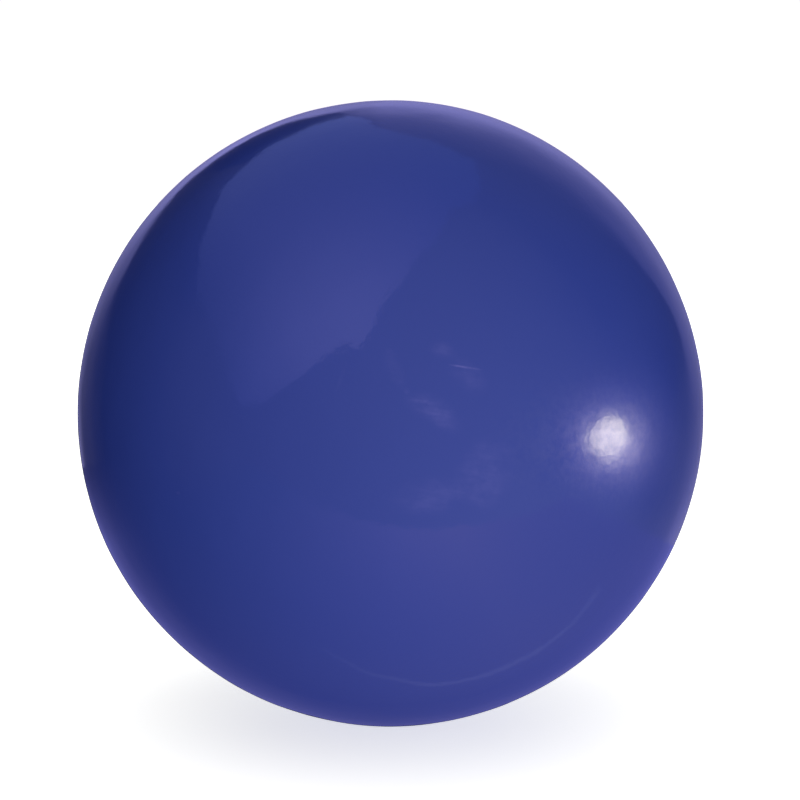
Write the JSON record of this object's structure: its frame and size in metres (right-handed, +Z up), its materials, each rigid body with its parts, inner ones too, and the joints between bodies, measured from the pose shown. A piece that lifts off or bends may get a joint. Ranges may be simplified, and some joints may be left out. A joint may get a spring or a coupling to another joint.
{
  "type": "dodgeball",
  "caption": "Smooth round inflatable dodgeball with a glossy rubber cover, a bladder inside and a self-sealing needle valve whose core draws out.",
  "frame": {"origin": "centre of the ball", "axes": "+Y along the valve's axis, out of the valve; +Z up as the ball lies in the picture, with the camera on the -Y side"},
  "size_m": [0.216, 0.2158, 0.216],
  "materials": {
    "blue_cover": "gloss",
    "black_ply": "matte",
    "nylon_yarn": "satin",
    "bladder_rubber": "satin",
    "patch_cloth": "matte",
    "housing_rubber": "satin",
    "core_rubber": "matte"
  },
  "bodies": {
    "ball": {"cover": "blue_cover", "backing_ply": "black_ply", "nylon_winding": "nylon_yarn", "bladder": "bladder_rubber", "valve_patch": "patch_cloth", "valve_housing": "housing_rubber"},
    "valve_core": {"valve_core": "core_rubber"}
  },
  "joints": [
    {"name": "valve_core_pull", "type": "slide", "parent": "ball", "child": "valve_core", "axis": [0, 1, 0], "range_m": [0, 0.024]}
  ]
}
